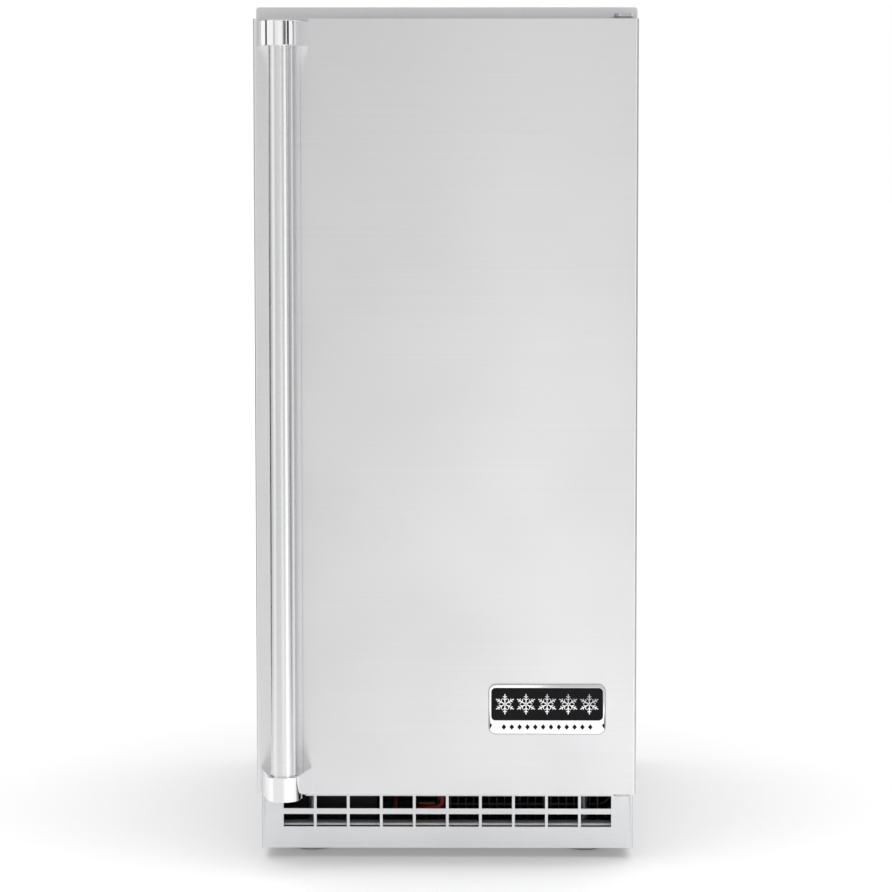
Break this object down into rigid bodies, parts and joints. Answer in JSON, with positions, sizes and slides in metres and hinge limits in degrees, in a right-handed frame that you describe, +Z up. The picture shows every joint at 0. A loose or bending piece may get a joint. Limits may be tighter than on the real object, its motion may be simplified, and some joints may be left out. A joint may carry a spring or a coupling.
{
  "type": "ice maker",
  "caption": "Under-counter clear ice maker: insulated door hinged on the right with a full-height tube handle, slotted kick plate, ice bin, freezing section and machine bay.",
  "frame": {"origin": "centre of the bounding box's footprint, on the floor under the feet", "axes": "+Z up, the door faces -Y, +X is the viewer's right when facing the door"},
  "size_m": [0.378, 0.67, 0.857],
  "materials": {
    "stainless": "satin",
    "steel_sheet": "satin",
    "galvanised": "satin",
    "chrome": "polished",
    "dark_steel": "satin",
    "black_enamel": "gloss",
    "aluminium": "satin",
    "copper": "satin",
    "white_abs": "satin",
    "clear_plastic": "gloss",
    "grey_plastic": "matte",
    "black_plastic": "satin",
    "blue_plastic": "satin",
    "badge_black": "gloss",
    "foam": "matte",
    "gasket_rubber": "matte",
    "black_rubber": "matte",
    "hose": "satin",
    "wire": "satin",
    "lens": "satin"
  },
  "bodies": {
    "cabinet": {"left_side_panel": "steel_sheet", "right_side_panel": "steel_sheet", "top_panel": "steel_sheet", "back_panel": "galvanised", "rear_service_panel": "galvanised", "front_frame": "stainless", "kick_plate": "stainless", "base_pan": "galvanised", "cabinet_screws": "chrome", "cabinet_insulation": "foam", "bin_liner": "white_abs", "upper_hinge": "dark_steel", "lower_hinge": "galvanised", "freeze_shroud": "white_abs", "evaporator_plate": "copper", "evaporator_coil": "copper", "ice_chute": "white_abs", "spray_manifold": "white_abs", "water_sump": "white_abs", "water_pump": "grey_plastic", "curtain_rod": "chrome", "control_fascia": "white_abs", "interior_lamp": "lens", "bin_thermostat": "copper", "scoop_holder": "white_abs", "bin_drain": "white_abs", "drain_hose": "hose", "compressor": "black_enamel", "compressor_grommets": "black_rubber", "terminal_cover": "black_plastic", "condenser": "aluminium", "fan_shroud": "galvanised", "fan_motor": "aluminium", "refrigerant_lines": "copper", "water_inlet_valve": "blue_plastic", "water_fill_line": "hose", "electrical_box": "galvanised", "wire_harness": "wire", "cord_gland": "black_plastic"},
    "door": {"door_skin": "stainless", "door_end_caps": "grey_plastic", "door_insulation": "foam", "door_liner": "white_abs", "door_gasket": "gasket_rubber", "door_bushes": "grey_plastic", "handle_tube": "chrome", "handle_bracket_upper": "chrome", "handle_bracket_lower": "chrome", "handle_screws": "dark_steel", "badge_plate": "chrome", "badge_inset": "badge_black"},
    "curtain": {"curtain": "clear_plastic"},
    "power_button": {"power_button": "grey_plastic"},
    "clean_button": {"clean_button": "grey_plastic"},
    "fan": {"condenser_fan": "black_plastic"},
    "scoop": {"scoop": "clear_plastic"},
    "foot_front_left": {"leveler_front_left": "galvanised"},
    "foot_front_right": {"leveler_front_right": "galvanised"},
    "foot_rear_left": {"leveler_rear_left": "galvanised"},
    "foot_rear_right": {"leveler_rear_right": "galvanised"}
  },
  "joints": [
    {"name": "door_hinge", "type": "hinge", "parent": "cabinet", "child": "door", "pos_m": [0.175, -0.255, 0.46], "axis": [0, 0, 1], "range_deg": [0, 110]},
    {"name": "curtain_swing", "type": "hinge", "parent": "cabinet", "child": "curtain", "pos_m": [0, -0.083, 0.735], "axis": [1, 0, 0], "range_deg": [-75, 5]},
    {"name": "power_press", "type": "slide", "parent": "cabinet", "child": "power_button", "axis": [0, 1, 0], "range_m": [0, 0.0018], "stiffness_N_per_m": 400, "springref_m": -0.0015},
    {"name": "clean_press", "type": "slide", "parent": "cabinet", "child": "clean_button", "axis": [0, 1, 0], "range_m": [0, 0.0018], "stiffness_N_per_m": 400, "springref_m": -0.0015},
    {"name": "fan_spin", "type": "hinge", "parent": "cabinet", "child": "fan", "pos_m": [0.072, -0.081, 0.102], "axis": [0, 1, 0], "continuous": true},
    {"name": "scoop_lift", "type": "slide", "parent": "cabinet", "child": "scoop", "axis": [0, 0, 1], "range_m": [0, 0.045]},
    {"name": "foot_front_left_adjust", "type": "slide", "parent": "cabinet", "child": "foot_front_left", "axis": [0, 0, -1], "range_m": [0, 0.02]},
    {"name": "foot_front_right_adjust", "type": "slide", "parent": "cabinet", "child": "foot_front_right", "axis": [0, 0, -1], "range_m": [0, 0.02]},
    {"name": "foot_rear_left_adjust", "type": "slide", "parent": "cabinet", "child": "foot_rear_left", "axis": [0, 0, -1], "range_m": [0, 0.02]},
    {"name": "foot_rear_right_adjust", "type": "slide", "parent": "cabinet", "child": "foot_rear_right", "axis": [0, 0, -1], "range_m": [0, 0.02]}
  ]
}
